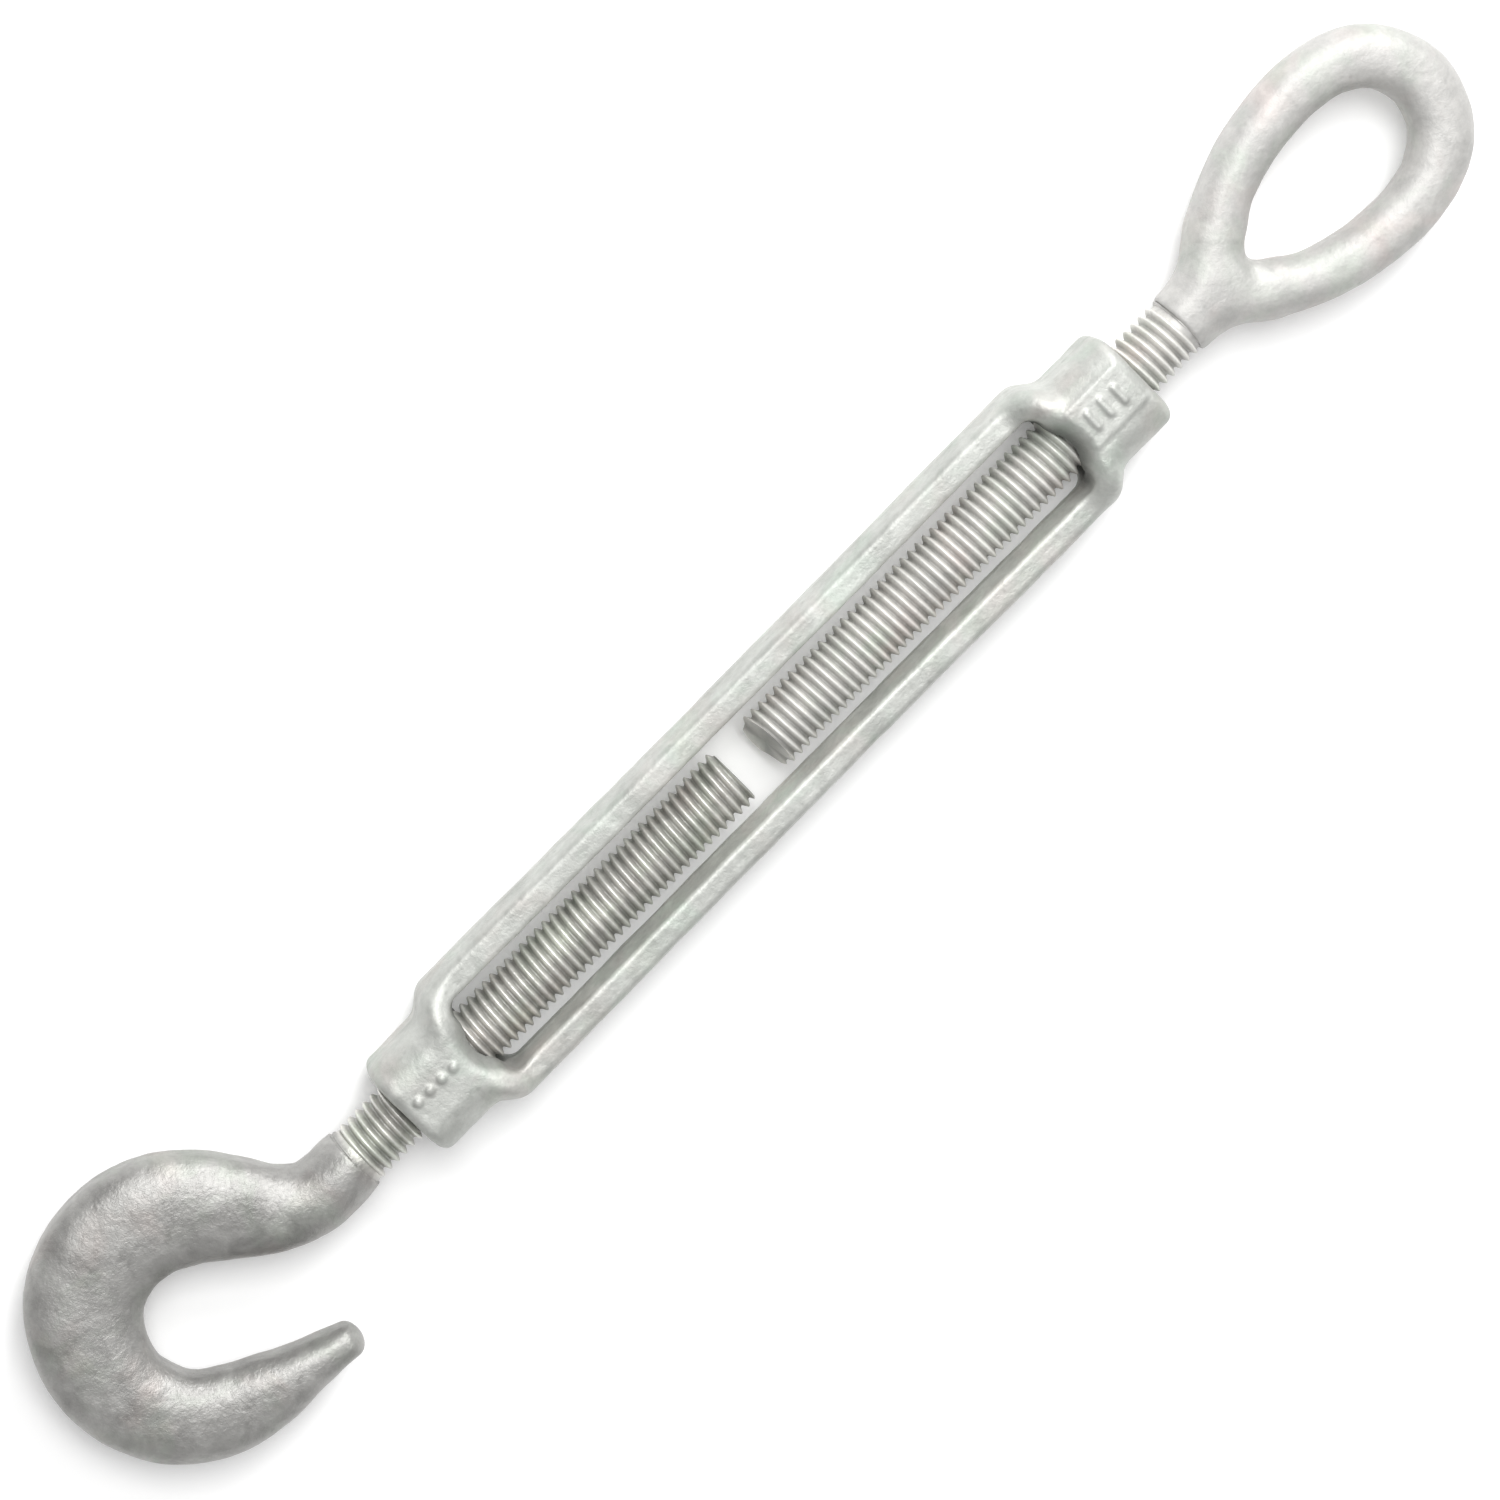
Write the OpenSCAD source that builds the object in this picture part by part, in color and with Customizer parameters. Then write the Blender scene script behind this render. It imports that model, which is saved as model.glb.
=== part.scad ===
// Hook-and-eye rigging turnbuckle, 1/2 in thread, 6 in take-up, drop forged and galvanised.
// +X runs along the thread axis towards the eye, +Z is up with the open body lying flat,
// and the origin is on the thread axis at the middle of the body.

/* [Thread] */
// Diameter over the thread crests of both bolts
thread_d = 12.4; // [11.8:0.1:12.6]
// Depth of the bolt thread, crest to root, on the radius
thread_depth = 1.15; // [0.8:0.05:1.2]
// Thread pitch, 13 turns to the inch
pitch = 1.9538; // [1.8:0.0001:2.1]
// Radial play between a bolt and its tapped boss
thread_play = 0.35; // [0.3:0.05:0.5]

/* [Body] */
// Length of the body over both bosses
body_len = 190.5; // [180:0.5:200]
// Length of the open window between the bosses
window_len = 152; // [146:0.5:153]
// Clear width of the window between the side bars
window_w = 16.5; // [16.2:0.1:17.6]
// Width across the two side bars, at the parting line
body_w = 28.6; // [28:0.1:29.6]
// Height of the side bars
bar_h = 12; // [10:0.5:14]
// Width across a boss
boss_w = 21.6; // [21:0.1:24]
// Height of a boss
boss_h = 20.4; // [19:0.1:22]

/* [Bolts] */
// Distance from the body's middle to the end of the eye bolt, at rest
eye_tip = -1; // [-1:0.5:4]
// Distance from the body's middle to the end of the hook bolt, at rest
hook_tip = -9; // [-14:0.5:-8.5]
// Length of the plain point on the end of each bolt
point_len = 2; // [1:0.5:3]
// Distance from the body's middle to the eye bolt's collar
eye_collar = 106; // [104:0.5:112]
// Distance from the body's middle to the hook bolt's collar
hook_collar = -106.5; // [-112:0.5:-104]
// Thickness of the eye's rod, across its flat
eye_t = 11.4; // [10:0.2:13]
// Thickness of the hook's back
hook_t = 13.4; // [11:0.2:15]

/* [Hidden] */
zinc = [0.80, 0.81, 0.79];
zinc_dark = [0.66, 0.67, 0.66];
sides = 18;                       // flats around one turn of thread
r_crest = thread_d / 2;
r_root = thread_d / 2 - thread_depth;
run = 0.3;                        // plain length before the first turn

// ---------- shared shapes ----------

// A threaded rod along +X from x = 0, right handed. It is a stub of root radius r0, then
// `turns` turns of V thread up to radius r1 and one turn's length of run-out.
function rod_length(turns) = run + (turns + 1) * pitch + run;
module threaded_rod(r0, r1, turns) {
    m = 2 * turns;
    n = sides;
    col0 = [for (j = [0:m + 2]) [run + j * pitch / 2, j % 2 == 0 ? r0 : r1, 0]];
    cols = [for (i = [1:n - 1]) for (j = [0:m])
        let (r = j % 2 == 0 ? r0 : r1, a = 360 * i / n)
        [run + (j / 2 + i / n) * pitch, r * cos(a), r * sin(a)]];
    s = [for (i = [0:n - 1]) [0, r0 * cos(360 * i / n), r0 * sin(360 * i / n)]];
    e = [for (q = s) [rod_length(turns), q[1], q[2]]];
    function at(i, j) = i == 0 ? j : i == n ? j + 2 : m + 3 + (i - 1) * (m + 1) + j;
    s0 = m + 3 + (n - 1) * (m + 1);
    e0 = s0 + n;
    polyhedron(
        points = concat(col0, cols, s, e),
        faces = concat(
            [for (i = [0:n - 1]) for (j = [0:m - 1]) [at(i, j), at(i, j + 1), at(i + 1, j + 1)]],
            [for (i = [0:n - 1]) for (j = [0:m - 1]) [at(i, j), at(i + 1, j + 1), at(i + 1, j)]],
            [for (i = [0:n - 2]) [s0 + i, at(i, 0), at(i + 1, 0), s0 + i + 1]],
            [[s0 + n - 1, at(n - 1, 0), 2, 0, s0]],
            [[0, 2, 1]],
            [for (i = [1:n - 2]) [at(i, m), e0 + i, e0 + i + 1, at(i + 1, m)]],
            [[at(n - 1, m), e0 + n - 1, e0, m + 2]],
            [[at(1, m), m, m + 2, e0, e0 + 1]],
            [[m, m + 1, m + 2]],
            [[for (i = [0:n - 1]) s0 + i]],
            [[for (i = [n - 1:-1:0]) e0 + i]]));
}

// A closed outline of k points, round at power = 2 and squarer as it grows.
function outline(k, power) = [for (i = [0:k - 1])
    let (a = 360 * i / k, c = cos(a), s = sin(a))
    [sign(c) * pow(abs(c), 2 / power), sign(s) * pow(abs(s), 2 / power)]];

// One station of a forging: where its centre is, which way its width runs in the XY plane
// (degrees from +Y, towards -X), its half width, its half height and how square it is.
function ring(x, y, lean, w, h, power, k) = [for (p = outline(k, power))
    [x - p[0] * w * sin(lean), y + p[0] * w * cos(lean), p[1] * h]];

// The skin over a row of rings, whichever way round the rings run.
module skin(rings) {
    k = len(rings[0]);
    n = len(rings);
    c = (rings[0][0] + rings[0][k / 2]) / 2;
    ahead = cross(rings[0][0] - c, rings[0][floor(k / 4)] - c)
        * ((rings[1][0] + rings[1][k / 2]) / 2 - c) > 0;
    faces = concat(
        [for (j = [0:n - 2]) for (i = [0:k - 1])
            [j * k + i, j * k + (i + 1) % k, (j + 1) * k + (i + 1) % k]],
        [for (j = [0:n - 2]) for (i = [0:k - 1])
            [j * k + i, (j + 1) * k + (i + 1) % k, (j + 1) * k + i]],
        [[for (i = [k - 1:-1:0]) i]],
        [[for (i = [0:k - 1]) (n - 1) * k + i]]);
    polyhedron(
        points = [for (r = rings) each r],
        faces = ahead ? [for (f = faces) [for (i = [len(f) - 1:-1:0]) f[i]]] : faces);
}

// A smooth curve through a list of rows, each [x, y, lean, half width, half height, power].
function blend(a, b, c, d, t) = 0.5 * (2 * b + (c - a) * t + (2 * a - 5 * b + 4 * c - d) * t * t
    + (3 * b - a - 3 * c + d) * t * t * t);
function smooth(rows, steps) = [for (i = [0:len(rows) - 2]) for (s = [0:steps - 1])
        blend(rows[max(i - 1, 0)], rows[i], rows[i + 1], rows[min(i + 2, len(rows) - 1)], s / steps)];
function through(rows, steps) = concat(smooth(rows, steps), [rows[len(rows) - 1]]);

// A row of stations, then the same stations mirrored in the XZ plane on the way back.
function there_and_back(rows) = concat(rows, [for (i = [len(rows) - 2:-1:0])
    let (q = rows[i]) [q[0], -q[1], -180 - q[2], q[3], q[4], q[5]]]);

module forging(rows, steps, k) {
    skin([for (q = through(rows, steps)) ring(q[0], q[1], q[2], q[3], q[4], q[5], k)]);
}

// A raised spot or a raised bar with rounded ends, standing on the face z = 0.
module raised(length, width, height) {
    hull() for (s = [-1, 1]) translate([s * (length - width) / 2, 0, 0]) {
        cylinder(d = width, h = height / 2, $fn = 16);
        cylinder(d = width - height, h = height, $fn = 16);
    }
}

// ---------- body ----------

bw = body_w / 2;
bh = bar_h / 2;
hx = body_len / 2;
wx = window_len / 2;
hw = boss_w / 2;
hh = boss_h / 2;

// A boss and the shoulders that carry it to the side bars, at the +X end.
module boss() {
    forging([
        [wx - 7, 0, 0, bw - 0.1, bh - 0.2, 8],
        [wx - 3.5, 0, 0, bw, bh + 0.8, 6.5],
        [wx - 0.2, 0, 0, bw - 0.3, bh + 2.4, 5],
        [wx + 2, 0, 0, bw - 0.9, hh - 0.7, 4],
        [wx + 4.2, 0, 0, hw + 1, hh, 3.6],
        [wx + 6.4, 0, 0, hw, hh, 3.4],
        [wx + 12, 0, 0, hw, hh, 3.4],
        [hx - 2.2, 0, 0, hw, hh, 3.4],
        [hx - 1, 0, 0, hw - 0.5, hh - 0.5, 3.3],
        [hx - 0.3, 0, 0, hw - 1.2, hh - 1.2, 3.2],
        [hx, 0, 0, hw - 2.2, hh - 2.2, 3.2]], 2, 32);
}

// One side bar at +Y, slightly waisted, with forging draft above and below its parting line.
module side_bar() {
    n = 8;
    skin([for (s = [-n:n])
        let (x = s / n * (wx - 4), sag = 0.35 * (1 - pow(s / n, 2)),
             a = window_w / 2 - 0.7 * sag, b = bw - sag, c = 1.1)
        [[x, a, 0], [x, a + 0.65, bh - c], [x, a + c + 0.4, bh], [x, b - c - 0.6, bh],
         [x, b - 0.6, bh - c], [x, b, 0],
         [x, b - 0.6, c - bh], [x, b - c - 0.6, -bh], [x, a + c + 0.4, -bh], [x, a + 0.65, c - bh]]]);
}

// The through window with round corners, and the scoops that lead into the bosses.
module window() {
    hull() for (sx = [-1, 1]) for (sy = [-1, 1])
        translate([sx * (wx - 2.5), sy * (window_w / 2 - 2.5), -15]) cylinder(r = 2.5, h = 30, $fn = 20);
    for (sx = [-1, 1]) for (sz = [-1, 1])
        intersection() {
            translate([sx * (wx - 10.6), 0, sz * (bh + 2.3)])
                scale([1, 1, sz]) translate([0, 0, -1.8]) cylinder(r1 = 9, r2 = 15.5, h = 6.5, $fn = 48);
            translate([sx * (wx + 2), 0, sz * 11]) cube([12, 2 * window_w / 2 + 8, 12.4], center = true);
        }
}

// The tapped hole of the +X boss, in step with the eye bolt's thread.
module tapped_hole(start) {
    turns_in = floor((wx - 2 - start) / pitch);
    translate([start + turns_in * pitch, 0, 0])
        threaded_rod(r_root + thread_play, r_crest + thread_play, ceil((hx - wx + 5) / pitch));
    for (q = [[wx - 0.1, 0], [hx + 0.1, 180]]) translate([q[0], 0, 0]) rotate([0, 0, q[1]])
        rotate([0, 90, 0]) rotate([0, 0, 4]) cylinder(r1 = r_crest + 1.1, r2 = r_root - 0.2, h = 2.3, $fn = 28);
}

module turnbuckle_body() {
    color(zinc) {
        difference() {
            union() {
                boss();
                mirror([1, 0, 0]) boss();
                side_bar();
                mirror([0, 1, 0]) side_bar();
            }
            window();
            tapped_hole(eye_tip + point_len);
            mirror([1, 0, 0]) tapped_hole(-hook_tip + point_len);
        }
        // the shallow raised pad of the eye-side boss, with a row of plain marks
        translate([hx - 8.6, 1.1, hh - 0.7]) hull() {
            cube([14, 9.8, 1], center = true);
            translate([0, 0, 0.75]) cube([13, 8.6, 0.5], center = true);
        }
        for (s = [-1, 0, 1]) translate([hx - 8.6 + 3.4 * s, 1.1, hh - 0.1]) rotate([0, 0, 90])
            raised(4.6, 1.6, 0.8);
        // plain spots on the hook-side boss
        for (s = [-1.5:1:1.5]) translate([-hx + 8.2 + 3 * s, 1.1, hh - 0.6]) raised(2, 2, 1.1);
    }
}

// ---------- eye bolt, right-hand thread ----------

eye_turns = floor((eye_collar - eye_tip - point_len - 2 * run) / pitch) - 1;

module eye_bolt() {
    x0 = eye_collar;
    t = eye_t / 2;
    color(zinc) union() {
        translate([eye_tip + point_len, 0, 0]) threaded_rod(r_root, r_crest, eye_turns);
        // collar and neck
        forging([
            [x0 - 3.2, 0, 0, 3.4, 3.4, 2],
            [x0 - 0.6, 0, 0, 5.75, 5.75, 2],
            [x0 + 1.5, 0, 0, 6.1, 6.1, 2],
            [x0 + 3.2, 0, 0, 6.6, 6.3, 2],
            [x0 + 8.3, 0, 0, 7.5, 6.2, 2.1],
            [x0 + 10.9, 0, 0, 8.6, 6, 2.2],
            [x0 + 13.6, 0, 0, 10.4, 5.9, 2.3],
            [x0 + 16, 0, 0, 11.2, 5.3, 2.3],
            [x0 + 18, 0, 0, 7, 3.1, 2.2]], 2, 24);
        // the teardrop loop, one bar bent round from the neck and back
        forging(there_and_back([
            [x0 + 14.4, 4.3, 53, 4.8, 5, 2.2],
            [x0 + 19.4, 8.1, 34, 5.5, t, 2.2],
            [x0 + 24.6, 11.2, 24, 5.1, t, 2.3],
            [x0 + 30.6, 13.5, 15, 5.2, t, 2.3],
            [x0 + 36.6, 14.9, 9, 5.3, t, 2.3],
            [x0 + 43.9, 15.7, 1, 5.4, t, 2.3],
            [x0 + 49, 15.5, -10, 5.5, t, 2.3],
            [x0 + 55.2, 14.1, -31, 5.6, t, 2.3],
            [x0 + 60.2, 11.1, -52, 5.9, t + 0.1, 2.3],
            [x0 + 63.6, 6.7, -71, 5.95, t + 0.1, 2.3],
            [x0 + 65.3, 0, -90, 6.1, t + 0.1, 2.3]]), 2, 20);
        hull() { // fills the crotch of the loop
            translate([x0 + 15.5, 0, 0]) rotate([0, 5, 0]) sphere(r = 4.9, $fn = 16);
            translate([x0 + 18.3, 0, 0]) rotate([0, 7, 0]) sphere(r = 2.2, $fn = 14);
        }
        // forging seam: eight short lands along the outside of the neck
        for (s = [0:7]) hull() for (m = [-1, 1])
            translate([x0 + 4 + s * 0.8, m * 6, 0]) cube([0.9, 0.5, 0.8], center = true);
    }
}

module eye_bolt_point() {
    color(zinc_dark) point(eye_tip);
}

// ---------- hook bolt, left-hand thread ----------

hook_turns = floor((hook_tip - point_len - hook_collar - 2 * run) / pitch) - 1;

module hook_bolt() {
    x0 = hook_collar;
    t = hook_t / 2;
    color(zinc) union() {
        translate([hook_tip - point_len, 0, 0]) mirror([1, 0, 0]) threaded_rod(r_root, r_crest, hook_turns);
        forging([
            [x0 + 3.2, 0, 0, 3.4, 3.4, 2],
            [x0 + 0.4, 0, 0, 5.3, 5.3, 2],
            [x0 - 2, 0, 0, 5.9, 5.9, 2],
            [x0 - 4.3, 0, 0, 6.8, 6.7, 2],
            [x0 - 8, -0.1, 2, 6.85, 6.7, 2.1],
            [x0 - 13.2, 1, -17, 7.15, t, 2.2],
            [x0 - 18.2, 5, -22, 8.7, t, 2.3],
            [x0 - 22.9, 10.7, -22.5, 10.4, t, 2.4],
            [x0 - 28.5, 15.9, -21, 11, t, 2.5],
            [x0 - 35.9, 20, -14.5, 11, t, 2.6],
            [x0 - 45, 21.2, 0, 11.1, t, 2.6],
            [x0 - 54.3, 17.8, 24, 11.1, t, 2.6],
            [x0 - 60.5, 9.7, 53, 10.5, t, 2.6],
            [x0 - 62.5, 0.4, 88, 9.6, t, 2.6],
            [x0 - 60.3, -8, 114.5, 8.9, t, 2.6],
            [x0 - 56.2, -13.4, 135, 8.3, t, 2.6],
            [x0 - 50.1, -17.2, 156.5, 7.9, t - 0.2, 2.5],
            [x0 - 42.6, -19.7, 169, 6.6, t - 0.5, 2.5],
            [x0 - 36.3, -21.1, 173, 5, t - 1, 2.4],
            [x0 - 30.3, -22.6, 174, 3.9, t - 1.7, 2.4],
            [x0 - 25.6, -23.4, 176, 3, 4, 2.4],
            [x0 - 23.9, -23.3, 177, 2.3, 3, 2.2],
            [x0 - 23.3, -23.3, 178, 1.2, 1.6, 2]], 2, 24);
        // forging seam: eight short lands along the outside of the shank
        for (s = [0:7]) hull() for (m = [-1, 1])
            translate([x0 - 5 - s * 0.8, m * 6.2, 0]) cube([0.9, 0.5, 0.8], center = true);
    }
}

module hook_bolt_point() {
    color(zinc_dark) mirror([1, 0, 0]) point(-hook_tip);
}

// The plain point on the end of a bolt, from x = tip inwards along +X.
module point(tip) {
    hull() for (q = [[0, r_root - 1], [0.9, r_root - 0.1], [point_len - 0.01, r_root - 0.1]])
        translate([tip + q[0], 0, 0]) rotate([0, 90, 0]) cylinder(r = q[1], h = 0.01, $fn = 24);
}

turnbuckle_body();
eye_bolt();
eye_bolt_point();
hook_bolt();
hook_bolt_point();
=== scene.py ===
"""Rigging turnbuckle, hook and eye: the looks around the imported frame.

Shapes are worked out in millimetres and scaled to metres at the end. X runs along the threads
towards the eye, Z is up from the surface it lies on.
"""

import math

import bpy
import numpy as np
from mathutils import Matrix, Vector


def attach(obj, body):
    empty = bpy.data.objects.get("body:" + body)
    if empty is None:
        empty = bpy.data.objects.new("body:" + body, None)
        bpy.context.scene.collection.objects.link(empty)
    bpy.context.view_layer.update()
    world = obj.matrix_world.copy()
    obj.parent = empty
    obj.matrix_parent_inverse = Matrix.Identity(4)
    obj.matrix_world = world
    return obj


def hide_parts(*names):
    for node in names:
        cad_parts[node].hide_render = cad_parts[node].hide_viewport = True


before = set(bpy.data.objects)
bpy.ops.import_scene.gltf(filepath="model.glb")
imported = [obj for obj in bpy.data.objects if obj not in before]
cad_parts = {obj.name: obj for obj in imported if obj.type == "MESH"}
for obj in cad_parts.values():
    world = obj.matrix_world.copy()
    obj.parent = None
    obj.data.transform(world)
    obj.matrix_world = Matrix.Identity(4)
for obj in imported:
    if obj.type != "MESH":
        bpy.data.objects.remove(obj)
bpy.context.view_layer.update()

MM = 0.001
PITCH = 1.953846
R_CREST = 6.2
R_ROOT = 5.05
HALF = 95.25  # end face of a boss
WIN = 76.0  # end of the window
BAR_H = 6.0
BOSS_W = 10.8
BOSS_H = 10.2
EYE_REF = 50.9  # a crest of the eye bolt at +Y
HOOK_REF = -72.5  # a crest of the hook bolt at +Y

# ---------------------------------------------------------------- small helpers


def lattice(i, j, k, seed):
    h = (i * 374761393 + j * 668265263 + k * 1440662683 + seed * 974634777) & 0xFFFFFFFF
    h = ((h ^ (h >> 13)) * 1274126177) & 0xFFFFFFFF
    h = h ^ (h >> 16)
    return (h & 0xFFFF) / 32767.5 - 1.0


def noise(p, size, seed):
    """Smooth noise from -1 to 1 at points p, with lumps of about that size."""
    q = p / size
    i = np.floor(q).astype(np.int64)
    f = q - i
    f = f * f * f * (f * (f * 6 - 15) + 10)
    out = np.zeros(len(p))
    for dx in (0, 1):
        wx = f[:, 0] if dx else 1 - f[:, 0]
        for dy in (0, 1):
            wy = f[:, 1] if dy else 1 - f[:, 1]
            for dz in (0, 1):
                wz = f[:, 2] if dz else 1 - f[:, 2]
                out += wx * wy * wz * lattice(i[:, 0] + dx, i[:, 1] + dy, i[:, 2] + dz, seed)
    return out


def smin(a, b, k):
    h = np.clip(0.5 + 0.5 * (b - a) / k, 0, 1)
    return b + (a - b) * h - k * h * (1 - h)


def smax(a, b, k):
    return -smin(-a, -b, k)


def round_and(a, b, r):
    """Where both shapes are, with the edge between them rounded to radius r."""
    u, v = a + r, b + r
    return np.hypot(np.maximum(u, 0), np.maximum(v, 0)) - r + np.minimum(np.maximum(u, v), 0)


def step(e0, e1, x):
    t = np.clip((x - e0) / (e1 - e0), 0, 1)
    return t * t * (3 - 2 * t)


def table(rows, sigma):
    """A smooth function through rows of (x, value), blurred by sigma."""
    rows = np.array(rows, float)
    xs = np.arange(rows[0, 0], rows[-1, 0] + 0.05, 0.1)
    v = np.interp(xs, rows[:, 0], rows[:, 1])
    n = int(round(3 * sigma / 0.1))
    if n:
        w = np.exp(-0.5 * (np.arange(-n, n + 1) * 0.1 / sigma) ** 2)
        v = np.convolve(np.pad(v, n, mode="edge"), w / w.sum(), mode="valid")
    return lambda x: np.interp(x, xs, v)


def gradient(f, p, e=0.03):
    """Value and gradient of f at p, from four points around each."""
    k = np.array([[1, -1, -1], [-1, -1, 1], [-1, 1, -1], [1, 1, 1]], float)
    v = [f(p + e * d) for d in k]
    g = sum(a[:, None] * d for a, d in zip(v, k)) / (4 * e)
    return sum(v) / 4, g


def net(f, gx, gy, gz, rounds=3):
    """Quads on the surface f = 0 over a grid, one vertex a cell, pulled onto the surface."""
    F = np.empty((len(gx), len(gy), len(gz)))
    YY, ZZ = np.meshgrid(gy, gz, indexing="ij")
    yy, zz = YY.ravel(), ZZ.ravel()
    block = 24
    for s in range(0, len(gx), block):
        xs = gx[s : s + block]
        p = np.empty((len(xs) * len(yy), 3))
        p[:, 0] = np.repeat(xs, len(yy))
        p[:, 1] = np.tile(yy, len(xs))
        p[:, 2] = np.tile(zz, len(xs))
        F[s : s + block] = f(p).reshape(len(xs), len(gy), len(gz))
    inside = F < 0
    nx, ny, nz = F.shape
    total = np.zeros((nx - 1, ny - 1, nz - 1, 3))
    count = np.zeros((nx - 1, ny - 1, nz - 1))
    axes = (gx, gy, gz)
    crossings = []
    for a in range(3):
        lo = [slice(None)] * 3
        hi = [slice(None)] * 3
        lo[a], hi[a] = slice(None, -1), slice(1, None)
        v0, v1 = F[tuple(lo)], F[tuple(hi)]
        cross = inside[tuple(lo)] != inside[tuple(hi)]
        crossings.append((cross, inside[tuple(lo)]))
        t = np.where(cross, v0 / np.where(cross, v0 - v1, 1), 0)
        pos = np.empty(cross.shape + (3,))
        for b in range(3):
            shape = [1, 1, 1]
            g = axes[b]
            if a == b:
                shape[b] = len(g) - 1
                pos[..., b] = g[:-1].reshape(shape) + t * np.diff(g).reshape(shape)
            else:
                shape[b] = len(g)
                pos[..., b] = np.broadcast_to(g.reshape(shape), cross.shape)
        b, c = [k for k in range(3) if k != a]
        for db in (0, 1):
            for dc in (0, 1):
                s = [slice(None)] * 3
                s[b] = slice(db, cross.shape[b] - 1 + db)
                s[c] = slice(dc, cross.shape[c] - 1 + dc)
                m = cross[tuple(s)]
                total += np.where(m[..., None], pos[tuple(s)], 0)
                count += m
    active = count > 0
    index = np.full(active.shape, -1, np.int64)
    index[active] = np.arange(active.sum())
    verts = total[active] / count[active][:, None]
    quads = []
    for a in range(3):
        cross, first = crossings[a]
        b, c = [(1, 2), (2, 0), (0, 1)][a]
        s = [slice(None)] * 3
        s[b], s[c] = slice(1, -1), slice(1, -1)
        m = np.argwhere(cross[tuple(s)])
        m[:, b] += 1
        m[:, c] += 1
        out = first[m[:, 0], m[:, 1], m[:, 2]]
        q = []
        for db, dc in ((-1, -1), (0, -1), (0, 0), (-1, 0)):
            n = m.copy()
            n[:, b] += db
            n[:, c] += dc
            q.append(index[n[:, 0], n[:, 1], n[:, 2]])
        q = np.stack(q, 1)
        q[~out] = q[~out][:, ::-1]
        quads.append(q)
    quads = np.concatenate(quads)
    h = min(np.diff(g).min() for g in axes)
    for _ in range(rounds):
        v, g = gradient(f, verts)
        m = np.maximum((g * g).sum(1), 0.05)
        move = -(v / m)[:, None] * g
        size = np.linalg.norm(move, axis=1)
        move *= (np.minimum(size, 0.35 * h) / np.maximum(size, 1e-9))[:, None]
        verts = verts + move
    _, g = gradient(f, verts)
    normals = g / np.maximum(np.linalg.norm(g, axis=1), 1e-9)[:, None]
    return verts, quads, normals


def weathered(verts, normals, seed, amount=1.0):
    """Slight lumps of a forged and hot-dipped surface."""
    d = 0.075 * noise(verts, 6.5, seed) + 0.04 * noise(verts, 2.6, seed + 1)
    d += 0.022 * noise(verts, 1.2, seed + 2)
    return verts + normals * (d * amount)[:, None]


def mesh_object(name, verts, faces):
    me = bpy.data.meshes.new(name)
    verts = np.ascontiguousarray(verts, np.float32) * MM
    me.vertices.add(len(verts))
    me.vertices.foreach_set("co", verts.ravel())
    k = faces.shape[1]
    me.loops.add(faces.size)
    me.loops.foreach_set("vertex_index", np.ascontiguousarray(faces, np.int32).ravel())
    me.polygons.add(len(faces))
    me.polygons.foreach_set("loop_start", np.arange(0, faces.size, k, dtype=np.int32))
    me.update(calc_edges=True)
    me.validate()
    ob = bpy.data.objects.new(name, me)
    bpy.context.scene.collection.objects.link(ob)
    return ob


def quads_and_tris(name, verts, quads, tris):
    me = bpy.data.meshes.new(name)
    verts = np.ascontiguousarray(verts, np.float32) * MM
    me.vertices.add(len(verts))
    me.vertices.foreach_set("co", verts.ravel())
    loops = np.concatenate([quads.ravel(), tris.ravel()]).astype(np.int32)
    starts = np.concatenate(
        [np.arange(len(quads)) * 4, len(quads) * 4 + np.arange(len(tris)) * 3]
    ).astype(np.int32)
    me.loops.add(len(loops))
    me.loops.foreach_set("vertex_index", loops)
    me.polygons.add(len(starts))
    me.polygons.foreach_set("loop_start", starts)
    me.update(calc_edges=True)
    ob = bpy.data.objects.new(name, me)
    bpy.context.scene.collection.objects.link(ob)
    return ob


def combine(ob, other, operation):
    """A boolean on closed meshes, applied at once."""
    m = ob.modifiers.new("c", "BOOLEAN")
    m.operation = operation
    m.solver = "MANIFOLD"
    m.object = other
    dg = bpy.context.evaluated_depsgraph_get()
    me = bpy.data.meshes.new_from_object(ob.evaluated_get(dg))
    old = ob.data
    ob.modifiers.clear()
    ob.data = me
    bpy.data.meshes.remove(old)
    bpy.data.objects.remove(other)
    if not len(me.polygons):
        raise RuntimeError("boolean gave nothing on " + ob.name)
    return ob


def coords(ob):
    v = np.empty(len(ob.data.vertices) * 3, np.float32)
    ob.data.vertices.foreach_get("co", v)
    return v.reshape(-1, 3).astype(float) / MM


def finish_mesh(ob, angle):
    ob.data.shade_smooth()
    ob.data.set_sharp_from_angle(angle=math.radians(angle))


# ---------------------------------------------------------------- the body

rail_out = table([(0, 14.2), (30, 14.25), (60, 14.45), (73.5, 14.45), (75.8, 14.3), (77.4, 13.95), (78.6, 13.35), (79.7, 12.45), (80.8, 11.5), (81.8, 10.85), (83, 10.62), (96, 10.62)], 0.45)
rail_high = table([(0, 6), (71.8, 6), (73.5, 6.5), (75.2, 7.7), (77, 9.2), (78.6, 10.1), (79.6, 10.2), (96, 10.2)], 0.6)
corner = table([(0, 1.15), (72, 1.3), (79, 5.2), (82.5, 6.4), (96, 6.6)], 1.0)
draft = table([(0, 0.115), (73, 0.115), (80, 0.02), (96, 0.0)], 1.0)


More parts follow.
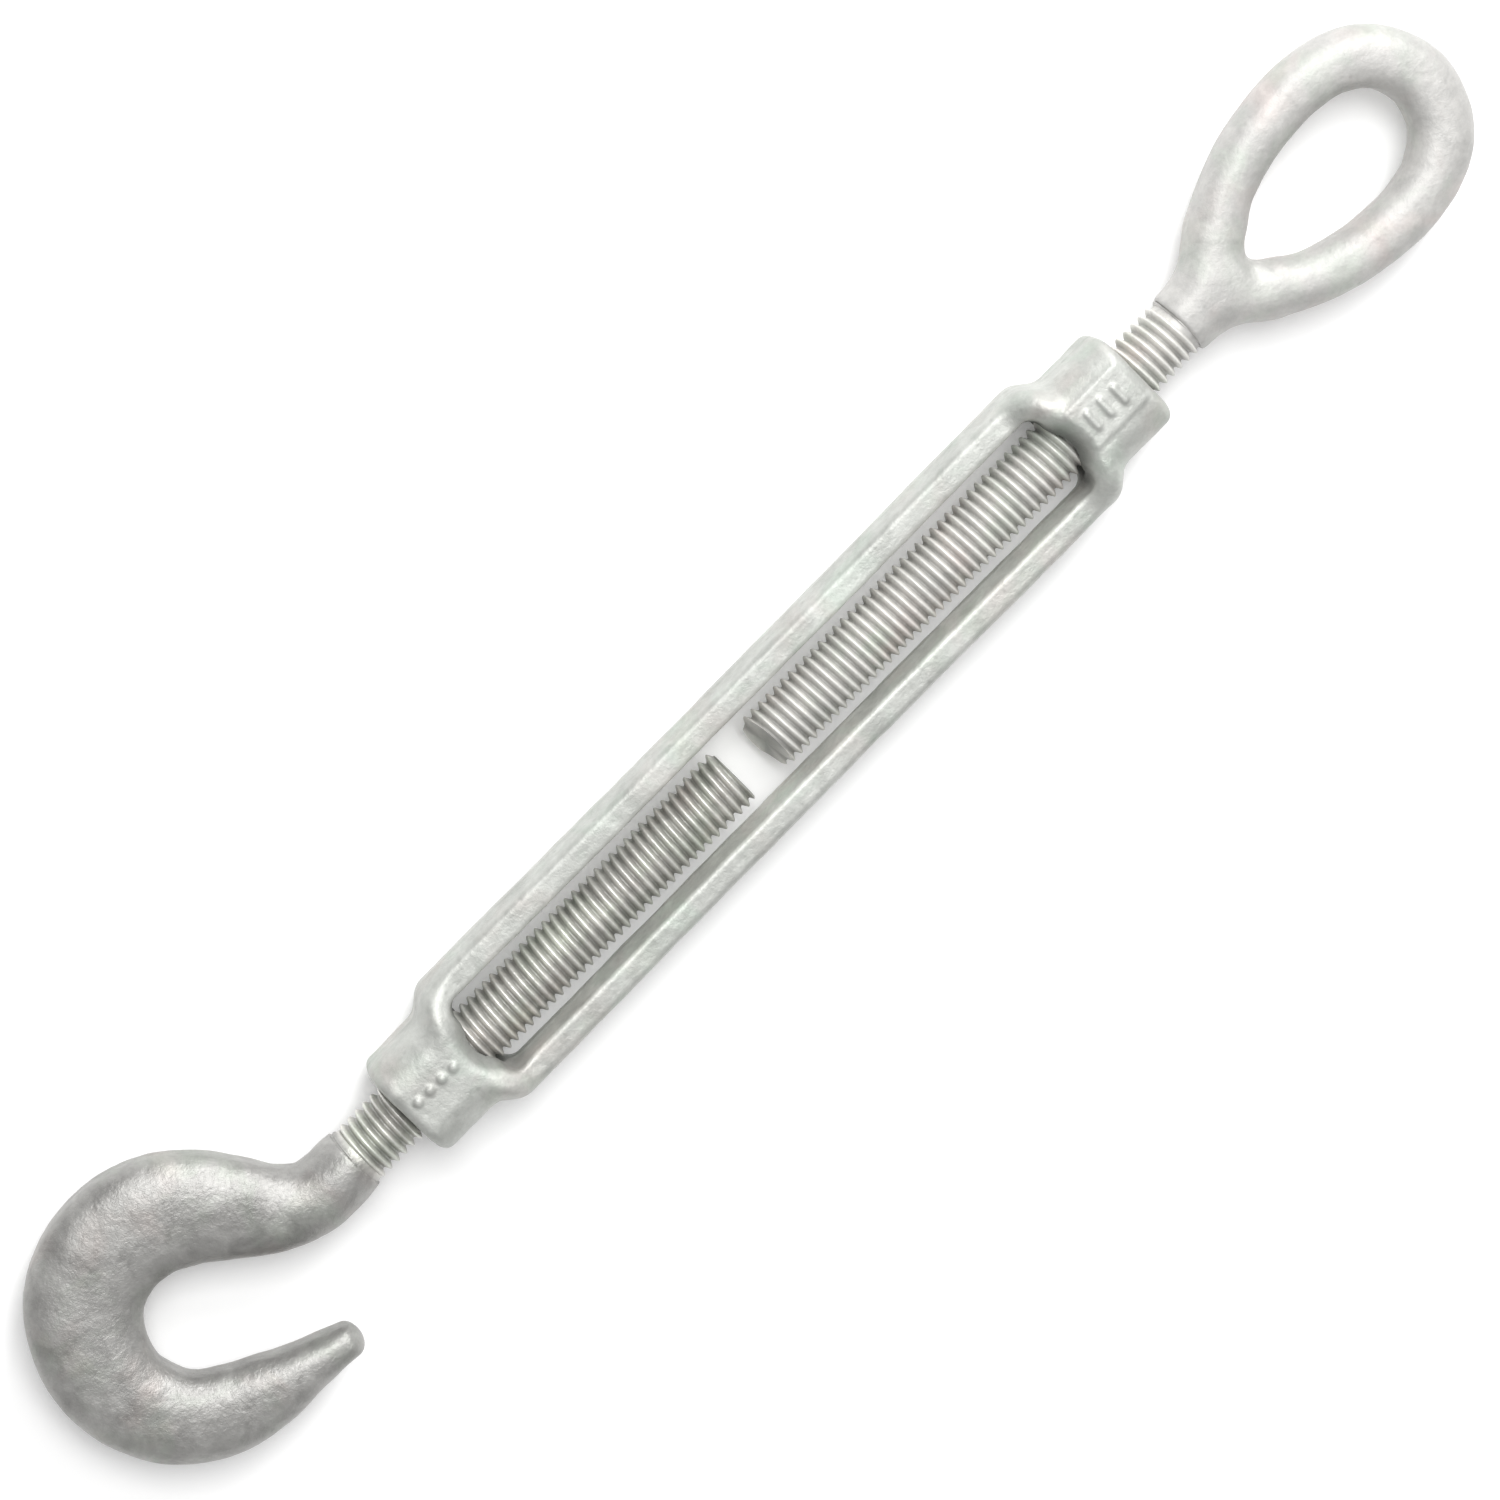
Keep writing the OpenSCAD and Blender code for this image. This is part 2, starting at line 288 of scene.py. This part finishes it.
def body_shape(p):
    x, y, z = p[:, 0], p[:, 1], p[:, 2]
    ax, ay, az = np.abs(x), np.abs(y), np.abs(z)
    # side bars, shoulders and bosses as one swept section
    w = rail_out(ax) - draft(ax) * az + 0.16 * np.exp(-((z / 0.55) ** 2))
    h = rail_high(ax) - 0.02 * np.maximum(ay - 9, 0)
    r = corner(ax)
    qy, qz = ay - (w - r), az - (h - r)
    d = np.hypot(np.maximum(qy, 0), np.maximum(qz, 0)) + np.minimum(np.maximum(qy, qz), 0) - r
    d = round_and(d, ax - HALF, 2.1)
    # the raised pad and the plain marks on the eye-side boss, the spots on the other
    u, v = x - 86.65, y - 1.1
    du, dv = np.abs(u) - 5.9, np.abs(v) - 3.8
    plan = np.hypot(np.maximum(du, 0), np.maximum(dv, 0)) + np.minimum(np.maximum(du, dv), 0) - 0.9
    pad = smax(plan + 1.1 * (z - 10.35), z - 10.52, 0.25) * 0.75
    pad = np.maximum(pad, 9 - z)
    d = smin(d, pad, 0.35)
    near = z > 9
    if near.any():
        xs, ys, zs = x[near], y[near], z[near]
        dn = d[near]
        for c in (83.2, 86.6, 90.0):
            t = np.hypot(xs - c, np.maximum(np.abs(ys - 1.1) - 1.6, 0)) - 0.85
            dn = smin(dn, smax(t + 0.8 * (zs - 10.5), zs - 11.0, 0.35) * 0.8, 0.3)
        for c in (-82.6, -85.6, -88.6, -91.6):
            t = np.hypot(xs - c, ys - 1.1) - 1.05
            dn = smin(dn, smax(t + 0.8 * (zs - 10.2), zs - 10.72, 0.35) * 0.8, 0.3)
        d[near] = dn
    # the window, with draft from the parting line
    wy = 8.3 + 0.135 * az - 0.18 * np.exp(-((z / 0.5) ** 2)) - 0.18 * (1 - (x / 76) ** 2)
    qx, qy = ax - (WIN + 0.03 * az - 2.7), ay - (wy - 2.7)
    win = np.hypot(np.maximum(qx, 0), np.maximum(qy, 0)) + np.minimum(np.maximum(qx, qy), 0) - 2.7
    d = round_and(d, -win, 0.75)
    # the conical scoops that lead from the window into the bosses
    rho = np.hypot(ax - 69.5, y)
    scoop = (rho - (8.1 + 0.62 * (az - 6.3))) * 0.85
    scoop = np.maximum(scoop, 70 - ax)
    d = round_and(d, -scoop, 0.9)
    # tapped bores, in step with the bolts
    far = ax > 70
    if far.any():
        xs, ys, zs, dn = x[far], y[far], z[far], d[far]
        rb = np.hypot(ys, zs)
        turn = np.arctan2(zs, ys) / (2 * math.pi) * PITCH
        crest = np.where(xs > 0, (xs - EYE_REF - turn) / PITCH, (xs - HOOK_REF + turn) / PITCH)
        wave = np.abs((crest - np.floor(crest)) - 0.5) * 2  # 1 on a crest of the bolt
        bore = (rb - (5.60 + 0.95 * np.clip(1.35 * wave - 0.2, 0, 1))) * 0.6
        mouth = (rb - (6.15 + (np.abs(xs) - 94.3))) * 0.707
        inner = np.maximum((rb - (6.4 + 0.3 * (78.3 - np.abs(xs)))) * 0.96, 75.2 - np.abs(xs))
        bore = np.minimum(np.minimum(bore, mouth), inner)
        d[far] = smax(dn, -bore, 0.3)
    return d


def make_body():
    bars = np.arange(0, 64, 0.8)
    ends = np.arange(64, 96.6, 0.4)
    gx = np.concatenate([bars, ends])
    gx = np.concatenate([-gx[::-1][:-1], gx])
    gy = np.arange(-15.2, 15.3, 0.4)
    gz = np.arange(-11.6, 11.8, 0.4)
    v, q, n = net(body_shape, gx, gy, gz)
    ob = mesh_object("body_forging", weathered(v, n, 11), q)
    finish_mesh(ob, 50)
    return ob


# ---------------------------------------------------------------- sweeps for hook and eye


def spline(rows, steps=14):
    rows = np.array(rows, float)
    ext = np.vstack([2 * rows[0] - rows[1], rows, 2 * rows[-1] - rows[-2]])
    out = []
    for i in range(len(rows) - 1):
        a, b, c, d = ext[i : i + 4]
        t = (np.arange(steps) / steps)[:, None]
        out.append(0.5 * (2 * b + (c - a) * t + (2 * a - 5 * b + 4 * c - d) * t**2 + (3 * b - a - 3 * c + d) * t**3))
    out.append(rows[-1:])
    return np.vstack(out)


class Sweep:
    """A bent bar in the XY plane: rows of x, y, half width, half height, power of its section.

    Fields of the nearest station are kept on a fine grid over the plane."""

    def __init__(self, rows, box, inner, outer, keep=None):
        self.inner, self.outer = inner, outer
        pts = spline(rows)
        self.h = 0.25
        x0, x1, y0, y1 = box
        self.x0, self.y0 = x0, y0
        xs = np.arange(x0, x1 + self.h, self.h)
        ys = np.arange(y0, y1 + self.h, self.h)
        X, Y = np.meshgrid(xs, ys, indexing="ij")
        P = np.stack([X.ravel(), Y.ravel()], 1)
        A, B = pts[:-1, :2], pts[1:, :2]
        D = B - A
        L2 = (D * D).sum(1)
        best = np.full(len(P), 1e9)
        field = np.zeros((len(P), 5))
        for i in range(len(A)):
            r = P - A[i]
            t = np.clip((r @ D[i]) / L2[i], 0, 1)
            off = r - t[:, None] * D[i]
            d2 = (off * off).sum(1)
            m = d2 < best
            side = np.sign(D[i, 0] * r[:, 1] - D[i, 1] * r[:, 0])
            best = np.where(m, d2, best)
            vals = pts[i, 2:5] * (1 - t[:, None]) + pts[i + 1, 2:5] * t[:, None]
            field[m, 0] = np.sqrt(d2)[m]
            field[m, 1:4] = vals[m]
            field[m, 4] = side[m]
        self.f = field.reshape(len(xs), len(ys), 5)

    def look(self, x, y):
        u = np.clip((x - self.x0) / self.h, 0, self.f.shape[0] - 1.001)
        v = np.clip((y - self.y0) / self.h, 0, self.f.shape[1] - 1.001)
        i, j = u.astype(int), v.astype(int)
        a, b = (u - i)[:, None], (v - j)[:, None]
        f = self.f
        return (f[i, j] * (1 - a) * (1 - b) + f[i + 1, j] * a * (1 - b) + f[i, j + 1] * (1 - a) * b + f[i + 1, j + 1] * a * b).T

    def __call__(self, x, y, z):
        off, w, t, n, side = self.look(x, y)
        k = 0.5 + 0.5 * side * self.inner[0]
        c = off / w * (self.inner[1] * k + self.outer[0] * (1 - k))
        g = (c**n + (np.abs(z) / t) ** n) ** (1 / n) - 1
        d = g * np.minimum(w, t)
        # lands trimmed along the parting line
        return round_and(d, off - w, 0.25)


hook_rows = [
    (-106.5, 0, 6.2, 6.2, 2),
    (-110.8, 0, 6.65, 6.6, 2),
    (-114.5, -0.05, 6.75, 6.7, 2.1),
    (-119.7, 0.85, 7.15, 6.7, 2.2),
    (-125.25, 4.43, 8.15, 6.7, 2.3),
    (-130.2, 9.9, 9.45, 6.7, 2.4),
    (-135.4, 15.5, 10.45, 6.7, 2.5),
    (-142.4, 20.05, 11.0, 6.7, 2.6),
    (-151.5, 21.2, 11.1, 6.7, 2.6),
    (-160.8, 17.8, 11.1, 6.7, 2.6),
    (-167.05, 9.7, 10.5, 6.7, 2.6),
    (-169.0, 0.4, 9.6, 6.7, 2.6),
    (-166.8, -8.0, 8.9, 6.7, 2.6),
    (-162.65, -13.35, 8.3, 6.7, 2.6),
    (-156.6, -17.15, 7.95, 6.5, 2.5),
    (-149.1, -19.65, 6.65, 6.2, 2.5),
    (-142.8, -21.1, 5.0, 5.7, 2.4),
    (-136.6, -22.55, 3.85, 5.0, 2.4),
    (-133.6, -23.3, 3.35, 4.6, 2.4),
]

eye_rows = [
    (117.0, 2.0, 4.4, 4.9, 2.2),
    (120.6, 4.5, 5.0, 5.1, 2.2),
    (125.4, 8.1, 5.5, 5.7, 2.2),
    (130.6, 11.25, 5.1, 5.7, 2.3),
    (136.6, 13.5, 5.2, 5.7, 2.3),
    (142.6, 14.9, 5.25, 5.7, 2.3),
    (149.9, 15.65, 5.4, 5.7, 2.3),
    (155.0, 15.45, 5.5, 5.7, 2.3),
    (161.2, 14.1, 5.6, 5.7, 2.3),
    (166.2, 11.1, 5.9, 5.75, 2.3),
    (169.6, 6.7, 5.95, 5.8, 2.3),
    (171.3, 0.0, 6.1, 5.8, 2.3),
    (169.6, -6.7, 5.95, 5.8, 2.3),
    (166.2, -11.1, 5.9, 5.75, 2.3),
    (161.2, -14.1, 5.6, 5.7, 2.3),
]


def make_thread(name, x_low, x_high, ref, hand, seed):
    """A closed helical rod from x_low to x_high. hand is 1 for right and -1 for left."""
    seg = 48
    u = np.array([-0.84, -0.72, -0.49, -0.26, -0.14, 0.0, 0.14, 0.26, 0.49, 0.72, 0.84, PITCH / 2])
    r = np.array([5.09, 5.2, 5.62, 6.03, 6.16, 6.2, 6.16, 6.03, 5.62, 5.2, 5.09, 5.05])
    m = len(u)
    # first crest at or below x_low, angle 0 at +Y, turning towards +Z
    first = ref + math.floor((x_low - ref) / PITCH) * PITCH
    turns = int(math.ceil((x_high - first) / PITCH)) + 1
    count = turns * seg + 1
    i = np.arange(count)
    ang = hand * i * 2 * math.pi / seg
    base = first + i * PITCH / seg
    X = base[:, None] + u[None, :]
    A = np.repeat(ang[:, None], m, 1)
    R = np.repeat(r[None, :], count, 0)
    p = np.stack([X, R * np.cos(A), R * np.sin(A)], -1).reshape(-1, 3)
    R = R.ravel() + 0.05 * noise(p, 3.1, seed) + 0.03 * noise(p, 1.1, seed + 1)
    p[:, 1], p[:, 2] = R * np.cos(A.ravel()), R * np.sin(A.ravel())
    idx = i[:, None] * m + np.arange(m)
    quads = [np.stack([idx[:-1, :-1], idx[:-1, 1:], idx[1:, 1:], idx[1:, :-1]], -1).reshape(-1, 4)]
    # the last column meets the first column one turn on
    quads.append(np.stack([idx[: -1 - seg, -1], idx[seg:-1, 0], idx[seg + 1 :, 0], idx[1:-seg, -1]], -1))
    quads = np.concatenate(quads)
    n = len(p)
    c0, c1 = n, n + 1
    p = np.vstack([p, [[first + u[0], 0, 0], [base[-1] + PITCH / 2, 0, 0]]])
    # closing fans: along the first column for one turn and up the first section, and the same at the end
    loop0 = np.concatenate([idx[: seg + 1, 0], idx[0, ::-1]])
    loop1 = np.concatenate([idx[-1, :], idx[-1 - seg :, -1][::-1]])
    tris = []
    for loop, c in ((loop0, c0), (loop1, c1)):
        nxt = np.roll(loop, -1)
        ok = loop != nxt
        tris.append(np.stack([loop[ok], nxt[ok], np.full(ok.sum(), c)], -1))
    tris = np.concatenate(tris)
    if hand > 0:
        quads = quads[:, ::-1]
        tris = tris[:, ::-1]
    return quads_and_tris(name, p, quads, tris)


def lathe(name, rows, seg=64, tilt=0.0, wobble=0):
    """A closed turned solid about X from rows of (x, radius); its ends close on the axis."""
    rows = np.array(rows, float)
    a = np.arange(seg) * 2 * math.pi / seg
    X = np.repeat(rows[:, :1], seg, 1)
    R = np.repeat(rows[:, 1:], seg, 1)
    Y, Z = R * np.cos(a), R * np.sin(a)
    X = X + tilt * Z * (np.arange(len(rows)) < 2)[:, None]
    p = np.stack([X, Y, Z], -1).reshape(-1, 3)
    i = np.arange(len(rows) - 1)[:, None] * seg
    j = np.arange(seg)
    k = (j + 1) % seg
    quads = np.stack([i + j, i + seg + j, i + seg + k, i + k], -1).reshape(-1, 4)[:, ::-1]
    n = len(p)
    p = np.vstack([p, [[rows[0, 0], 0, 0], [rows[-1, 0], 0, 0]]])
    last = (len(rows) - 1) * seg
    t0 = np.stack([j, k, np.full(seg, n)], -1)[:, ::-1]
    t1 = np.stack([last + k, last + j, np.full(seg, n + 1)], -1)[:, ::-1]
    return quads_and_tris(name, p, quads, np.concatenate([t0, t1]))


def make_hook():
    sweep = Sweep(hook_rows, (-184, -100, -32, 38), (1.0, 0.97), (0.975,))

    def shape(p):
        x, y, z = p[:, 0], p[:, 1], p[:, 2]
        d = sweep(x, y, z)
        # the blunt bevelled end of the point
        end = np.where(y < -14, (x + 130.95) * 0.86 - (y + 23.2) * 0.12 + 0.35 * np.abs(z) - 0.9, -9)
        d = smax(d, end, 2.2)
        return smax(d, x + 108.2, 0.3)

    gx = np.arange(-181.5, -106.5, 0.45)
    gy = np.arange(-28.5, 35, 0.45)
    gz = np.arange(-7.65, 7.7, 0.45)
    v, q, n = net(shape, gx, gy, gz)
    v = weathered(v, n, 31, 1.25)
    ob = mesh_object("hook_bolt_forging", v, q)
    collar = lathe("collar", [(-111.4, 5.9), (-110.9, 6.6), (-109.6, 6.45), (-106.6, 5.75), (-106.2, 5.2), (-104.5, 4.4)])
    combine(ob, collar, "UNION")
    rod = make_thread("rod", -109.5, -6.0, HOOK_REF, -1, 41)
    trim = lathe("trim", [(-108.6, 6.8), (-12.0, 6.8), (-9.6, 6.3), (-8.9, 5.5), (-8.8, 4.6)], 48)
    combine(rod, trim, "INTERSECT")
    combine(ob, rod, "UNION")
    finish_mesh(ob, 38)
    return ob


def make_eye():
    sweep = Sweep(eye_rows, (105, 180, -26, 26), (-1.0, 0.95), (0.985,))

    def shape(p):
        x, y, z = p[:, 0], p[:, 1], p[:, 2]
        d = smin(sweep(x, y, z), sweep(x, -y, z), crotch(x))
        w = neck_w(x)
        h = neck_h(x)
        n = neck_n(x)
        g = ((np.abs(y) / w) ** n + (np.abs(z) / h) ** n) ** (1 / n) - 1
        neck = smax(g * np.minimum(w, h), x - 123.2, 2.0)
        d = smax(smin(d, neck, 1.6), np.abs(z) - 6.1, 0.6)
        return round_and(d, 107.7 - x, 0.8)

    gx = np.arange(106.5, 179.0, 0.45)
    gy = np.arange(-22.95, 23.0, 0.45)
    gz = np.arange(-6.75, 6.8, 0.45)
    v, q, n = net(shape, gx, gy, gz)
    v = weathered(v, n, 51, 1.0)
    ob = mesh_object("eye_bolt_forging", v, q)
    collar = lathe("collar", [(104.0, 4.4), (105.7, 5.2), (106.1, 5.6), (108.6, 5.65), (109.2, 5.6), (110.0, 5.2)])
    combine(ob, collar, "UNION")
    rod = make_thread("rod", -4.0, 108.0, EYE_REF, 1, 61)
    trim = lathe("trim", [(-0.4, 5.9), (1.2, 6.9), (107.6, 6.9)], 48, tilt=0.3)
    combine(rod, trim, "INTERSECT")
    combine(ob, rod, "UNION")
    finish_mesh(ob, 38)
    return ob


neck_w = table([(100, 6.5), (109.2, 6.6), (111.9, 6.85), (114.5, 7.5), (117.2, 9.0), (119.8, 11.0), (121.5, 12.0), (124, 12.4), (180, 12.4)], 0.6)
neck_h = table([(100, 6.3), (109.2, 6.35), (114, 6.25), (118, 5.95), (122, 5.5), (125, 4.9), (180, 4.9)], 0.8)
crotch = table([(100, 3.5), (120.5, 3.5), (125.5, 8.0), (127.2, 8.0), (135.5, 0.02), (180, 0.02)], 0.8)
neck_n = table([(100, 2), (112, 2), (120, 2.3), (180, 2.4)], 0.8)


# ---------------------------------------------------------------- finish: hot-dip zinc


def zinc(name, dark, light, pink, green, bump, seed, metal, rough_low, rough_high, shade=0.5):
    mat = bpy.data.materials.new(name)
    mat.use_nodes = True
    nt = mat.node_tree
    nt.nodes.clear()

    def node(kind, **kw):
        n = nt.nodes.new(kind)
        for k, v in kw.items():
            setattr(n, k, v)
        return n

    def link(a, b):
        nt.links.new(a, b)

    out = node("ShaderNodeOutputMaterial")
    bsdf = node("ShaderNodeBsdfPrincipled")
    bsdf.inputs["Metallic"].default_value = metal
    bsdf.inputs["Specular IOR Level"].default_value = 0.45
    link(bsdf.outputs["BSDF"], out.inputs["Surface"])
    tc = node("ShaderNodeTexCoord")
    place = node("ShaderNodeMapping")
    place.inputs["Location"].default_value = (seed * 0.37, seed * 0.11, seed * 0.23)
    link(tc.outputs["Object"], place.inputs["Vector"])
    vec = place.outputs["Vector"]

    def noise_tex(scale, detail, rough, distortion=0.0):
        n = node("ShaderNodeTexNoise")
        n.inputs["Scale"].default_value = scale
        n.inputs["Detail"].default_value = detail
        n.inputs["Roughness"].default_value = rough
        n.inputs["Distortion"].default_value = distortion
        link(vec, n.inputs["Vector"])
        return n.outputs["Fac"]

    def ramp(value, a, b, c0=(0, 0, 0, 1), c1=(1, 1, 1, 1)):
        r = node("ShaderNodeValToRGB")
        r.color_ramp.elements[0].position = a
        r.color_ramp.elements[1].position = b
        r.color_ramp.elements[0].color = c0
        r.color_ramp.elements[1].color = c1
        link(value, r.inputs["Fac"])
        return r.outputs["Color"]

    def mix(fac, a, b, mode="MIX"):
        m = node("ShaderNodeMix", data_type="RGBA", blend_type=mode)
        if isinstance(fac, float):
            m.inputs[0].default_value = fac
        else:
            link(fac, m.inputs[0])
        for s, v in ((m.inputs[6], a), (m.inputs[7], b)):
            if isinstance(v, tuple):
                s.default_value = v
            else:
                link(v, s)
        return m.outputs[2]

    # patches of zinc, from broad clouds down to fine grain
    cloud = noise_tex(150, 5, 0.62, 0.6)
    grain = noise_tex(900, 4, 0.7)
    base = mix(ramp(cloud, 0.33, 0.68), dark, light)
    base = mix(ramp(grain, 0.35, 0.7, (0.90, 0.90, 0.90, 1), (1.08, 1.08, 1.08, 1)), base, base, "MIX")
    speck = mix(1.0, base, ramp(grain, 0.3, 0.72, (0.88, 0.88, 0.88, 1), (1, 1, 1, 1)), "MULTIPLY")
    tint_a = ramp(noise_tex(70, 3, 0.55, 0.4), 0.52, 0.72)
    tint_b = ramp(noise_tex(85, 3, 0.55, 0.8), 0.5, 0.7)
    col = mix(tint_a, speck, mix(1.0, speck, pink, "MULTIPLY"))
    col = mix(tint_b, col, mix(1.0, col, green, "MULTIPLY"))
    # a few dull pits
    pits = node("ShaderNodeTexVoronoi")
    pits.inputs["Scale"].default_value = 260
    pits.inputs["Randomness"].default_value = 1.0
    link(vec, pits.inputs["Vector"])
    pit = ramp(pits.outputs["Distance"], 0.03, 0.16, (0.86, 0.86, 0.86, 1), (1, 1, 1, 1))
    col = mix(1.0, col, pit, "MULTIPLY")
    # painted light: the threads and the inner walls of the bars are made lighter
    painted_light = node("ShaderNodeAttribute", attribute_name="painted_light")
    col = mix(painted_light.outputs["Fac"], col, mix(1.0, col, (1.95, 1.95, 1.91, 1), "MULTIPLY"))
    # painted shade: the thread roots, the bores and the scoops by the bores are made darker
    rec = node("ShaderNodeAttribute", attribute_name="painted_shade")
    col = mix(rec.outputs["Fac"], col, mix(1.0, col, (shade, shade, shade, 1), "MULTIPLY"))
    link(col, bsdf.inputs["Base Color"])
    rough = node("ShaderNodeMapRange")
    rough.inputs["To Min"].default_value = rough_low
    rough.inputs["To Max"].default_value = rough_high
    link(cloud, rough.inputs["Value"])
    link(rough.outputs["Result"], bsdf.inputs["Roughness"])
    # relief: hammered lumps, fine crystals, pits
    lumps = noise_tex(380, 4, 0.6, 0.3)
    fine = noise_tex(1250, 4, 0.7, 0.5)
    b1 = node("ShaderNodeBump")
    b1.inputs["Strength"].default_value = 1.0
    b1.inputs["Distance"].default_value = 0.00014 * bump
    link(lumps, b1.inputs["Height"])
    b2 = node("ShaderNodeBump")
    b2.inputs["Strength"].default_value = 1.0
    b2.inputs["Distance"].default_value = 0.00009 * bump
    link(fine, b2.inputs["Height"])
    link(b1.outputs["Normal"], b2.inputs["Normal"])
    b3 = node("ShaderNodeBump")
    b3.inputs["Strength"].default_value = 1.0
    b3.inputs["Distance"].default_value = 0.00008 * bump
    link(pit, b3.inputs["Height"])
    link(b2.outputs["Normal"], b3.inputs["Normal"])
    link(b3.outputs["Normal"], bsdf.inputs["Normal"])
    return mat


def add_value(ob, name, values):
    at = ob.data.attributes.new(name, "FLOAT", "POINT")
    at.data.foreach_set("value", np.ascontiguousarray(np.clip(values, 0, 1), np.float32))


body = make_body()
hook = make_hook()
eye = make_eye()

v = coords(body)
rb = np.hypot(v[:, 1], v[:, 2])
# painted shade in the scoops by the bore mouths, stronger on the eye side, and all through the bores
side = np.where(v[:, 0] > 0, 1.0, 0.5)
entry_shade = side * step(12.0, 7.0, rb) * step(73.5, 75.5, np.abs(v[:, 0])) * step(82.0, 78.0, np.abs(v[:, 0]))
add_value(body, "painted_shade", np.maximum(entry_shade, (rb < 6.75) & (np.abs(v[:, 0]) > 70)))
# painted light: the inner walls of the bars are made lighter, as if lit back from the floor
ay = np.abs(v[:, 1])
add_value(body, "painted_light", 0.27 * step(10.2, 9.2, ay) * step(7.0, 7.6, ay) * step(74.0, 70.0, np.abs(v[:, 0])))
for ob, lo, hi in ((hook, -107.0, 10.0), (eye, -10.0, 106.6)):
    v = coords(ob)
    rb = np.hypot(v[:, 1], v[:, 2])
    inside = (v[:, 0] > lo) & (v[:, 0] < hi)
    # painted shade, darker down into the thread roots
    add_value(ob, "painted_shade", np.where(inside, 0.9 * (5.95 - rb) / 0.9, 0))
    # painted light on the threaded part of each bolt
    add_value(ob, "painted_light", (1.0 if ob is hook else 0.47) * inside)

body_mat = zinc("zinc_body", (0.435, 0.445, 0.42, 1), (0.575, 0.585, 0.557, 1), (1.02, 0.97, 0.97, 1), (0.94, 1.0, 0.96, 1), 1.0, 1, 0.52, 0.42, 0.62, 0.34)
hook_mat = zinc("zinc_hook", (0.295, 0.29, 0.28, 1), (0.445, 0.44, 0.425, 1), (1.02, 0.965, 0.955, 1), (0.95, 1.0, 0.95, 1), 1.25, 4, 0.65, 0.36, 0.55)
eye_mat = zinc("zinc_eye", (0.456, 0.451, 0.437, 1), (0.576, 0.566, 0.547, 1), (1.03, 0.965, 0.96, 1), (0.94, 1.0, 0.95, 1), 0.9, 7, 0.35, 0.45, 0.65)
for ob, mat in ((body, body_mat), (hook, hook_mat), (eye, eye_mat)):
    ob.data.materials.clear()
    ob.data.materials.append(mat)

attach(body, "body")
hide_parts("turnbuckle_body")
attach(hook, "hook")
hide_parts("hook_bolt", "hook_bolt_point")
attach(eye, "eye")
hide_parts("eye_bolt", "eye_bolt_point")

# ---------------------------------------------------------------- floor, light, camera

FLOOR_Z = -10.3 * MM


def flat_material(name, colour, rough):
    mat = bpy.data.materials.new(name)
    mat.use_nodes = True
    b = mat.node_tree.nodes["Principled BSDF"]
    b.inputs["Base Color"].default_value = colour
    b.inputs["Roughness"].default_value = rough
    b.inputs["Specular IOR Level"].default_value = 0.0
    b.inputs["Emission Color"].default_value = (1, 1, 1, 1)
    b.inputs["Emission Strength"].default_value = 0.08
    return mat


s = 3.0
floor = mesh_object("floor", np.array([[-s, -s, 0], [s, -s, 0], [s, s, 0], [-s, s, 0]]) / MM, np.array([[0, 1, 2, 3]]))
floor.location.z = FLOOR_Z
floor.data.materials.append(flat_material("floor_white", (0.95, 0.95, 0.95, 1), 0.9))

world = bpy.data.worlds.new("studio")
bpy.context.scene.world = world
world.use_nodes = True
world.node_tree.nodes["Background"].inputs["Color"].default_value = (1, 1, 1, 1)
world.node_tree.nodes["Background"].inputs["Strength"].default_value = 0.46
bpy.context.scene.view_settings.view_transform = "Standard"


def area(name, place, target, size, power, colour=(1, 1, 1), shadow=True):
    data = bpy.data.lights.new(name, "AREA")
    data.shape = "RECTANGLE"
    data.size, data.size_y = size
    data.energy = power
    data.color = colour
    data.use_shadow = shadow
    ob = bpy.data.objects.new(name, data)
    bpy.context.scene.collection.objects.link(ob)
    ob.location = place
    d = Vector(target) - Vector(place)
    ob.rotation_euler = d.to_track_quat("-Z", "Y").to_euler()
    return ob


area("key", (0.8, 0.42, 0.62), (0, 0, 0), (0.5, 0.5), 8.0)
area("top", (0.28, 0.34, 1.25), (0, 0, 0), (0.7, 0.7), 12.5)

TILT = math.radians(12.5)
ROLL = math.radians(45.36)
DIST = 0.92
PX_PER_MM = 5.4253
CX, CY = 767.15, 740.5
back = Vector((0, math.sin(TILT), math.cos(TILT)))
ex = Vector((1, 0, 0))
ey = back.cross(ex)
right = ex * math.cos(ROLL) - ey * math.sin(ROLL)
up = ex * math.sin(ROLL) + ey * math.cos(ROLL)
cam_data = bpy.data.cameras.new("camera")
cam = bpy.data.objects.new("camera", cam_data)
bpy.context.scene.collection.objects.link(cam)
cam_data.sensor_fit = "HORIZONTAL"
cam_data.sensor_width = 36.0
cam_data.lens = 36.0 * (DIST * 1000 * PX_PER_MM) / 1500.0
cam_data.clip_start = 0.05
cam_data.clip_end = 20
cam_data.shift_x = -(CX - 750) / 1500
cam_data.shift_y = (CY - 750) / 1500
m = Matrix((right, up, back)).transposed().to_4x4()
m.translation = back * DIST
cam.matrix_world = m
bpy.context.scene.camera = cam
